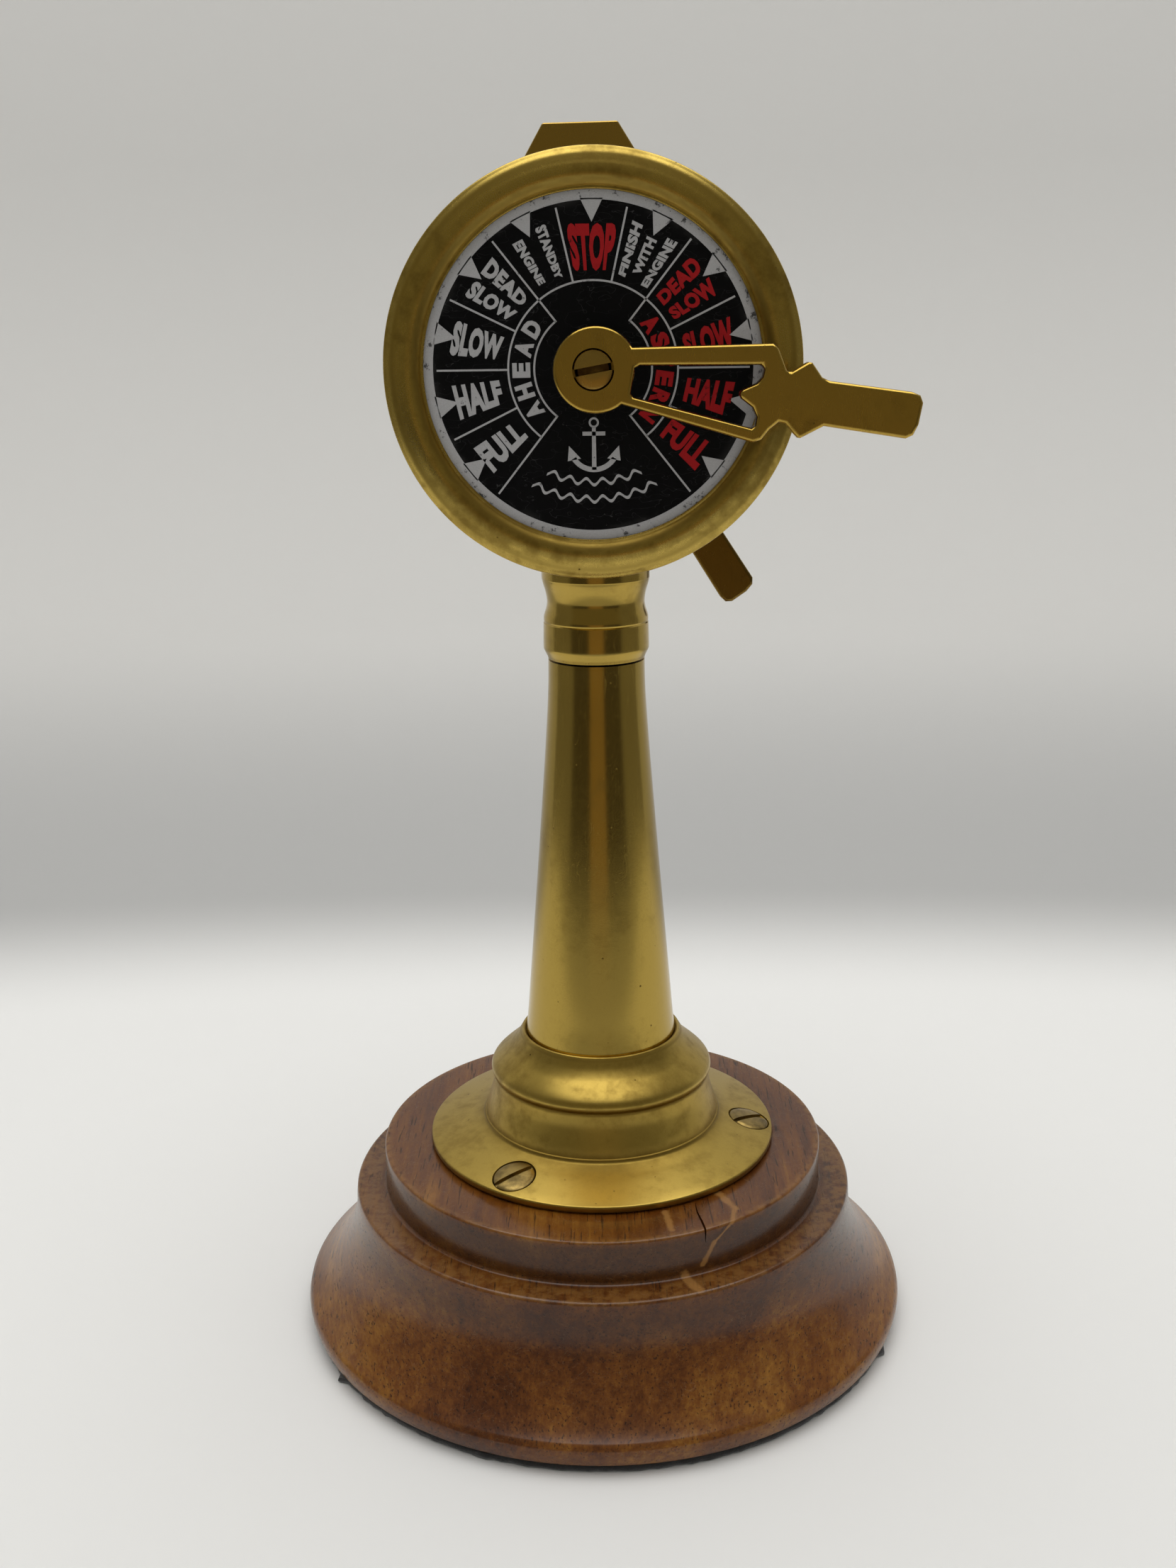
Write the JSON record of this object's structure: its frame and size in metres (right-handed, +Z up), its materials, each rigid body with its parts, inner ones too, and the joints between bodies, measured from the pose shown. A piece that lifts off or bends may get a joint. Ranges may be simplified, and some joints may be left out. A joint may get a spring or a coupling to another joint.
{
  "type": "ship engine telegraph",
  "caption": "Desk-size ship's engine telegraph: pedestal head with two order dials, each with a turning pointer lever, on a turned wooden base.",
  "frame": {"origin": "centre of the felt pad's underside, on the column's axis", "axes": "+Z up along the column, the front dial faces -Y, +X to the right of someone reading the front dial"},
  "size_m": [0.1282, 0.1282, 0.2395],
  "materials": {
    "felt": "black pressed felt",
    "wood": "worn reddish-brown varnish on turned hardwood",
    "brass": "aged olive-gold, spotted with tarnish",
    "polished_brass": "handled gold, bright on its edges",
    "dial_face": "black enamel with silver-grey and red legends",
    "steel": "plain turned steel",
    "bell_metal": "turned bell metal"
  },
  "bodies": {
    "stand": {"base_nut": "steel", "base_washer": "steel", "bell_post": "steel", "column": "brass", "drum_nut": "steel", "drum_shell": "brass", "drum_washer": "steel", "felt_pad": "felt", "foot_casting": "brass", "foot_screw_1": "brass", "foot_screw_2": "brass", "foot_screw_3": "brass", "front_bell": "bell_metal", "front_bell_nut": "steel", "front_bezel": "polished_brass", "front_bush": "brass", "front_bush_nut": "brass", "front_dial": "dial_face", "front_striker_pin": "steel", "front_striker_spring": "steel", "lamp_cover": "brass", "middle_plate": "brass", "neck_collar": "brass", "rear_bell": "bell_metal", "rear_bell_nut": "steel", "rear_bezel": "polished_brass", "rear_bush": "brass", "rear_bush_nut": "brass", "rear_dial": "dial_face", "rear_striker_pin": "steel", "rear_striker_spring": "steel", "tie_rod": "steel", "wooden_base": "wood"},
    "front_lever_set": {"front_lever": "polished_brass", "front_spindle": "steel", "front_lever_washer": "brass", "front_lever_screw": "polished_brass", "front_star_wheel": "brass", "front_star_nut": "steel"},
    "front_striker_set": {"front_striker_arm": "brass", "front_hammer": "brass"},
    "rear_lever_set": {"rear_lever": "polished_brass", "rear_spindle": "steel", "rear_lever_washer": "brass", "rear_lever_screw": "polished_brass", "rear_star_wheel": "brass", "rear_star_nut": "steel"},
    "rear_striker_set": {"rear_striker_arm": "brass", "rear_hammer": "brass"}
  },
  "joints": [
    {"name": "front_lever_turn", "type": "hinge", "parent": "stand", "child": "front_lever_set", "pos_m": [0, -0.0285, 0.1976], "axis": [0, -1, 0], "continuous": true},
    {"name": "rear_lever_turn", "type": "hinge", "parent": "stand", "child": "rear_lever_set", "pos_m": [0, 0.0285, 0.1976], "axis": [0, 1, 0], "continuous": true},
    {"name": "front_striker_swing", "type": "hinge", "parent": "stand", "child": "front_striker_set", "pos_m": [0.0125, -0.004, 0.2051], "axis": [0, -1, 0], "range_deg": [-1, 8], "stiffness_Nm_per_rad": 0.02},
    {"name": "rear_striker_swing", "type": "hinge", "parent": "stand", "child": "rear_striker_set", "pos_m": [-0.0125, 0.004, 0.2051], "axis": [0, 1, 0], "range_deg": [-1, 8], "stiffness_Nm_per_rad": 0.02}
  ]
}
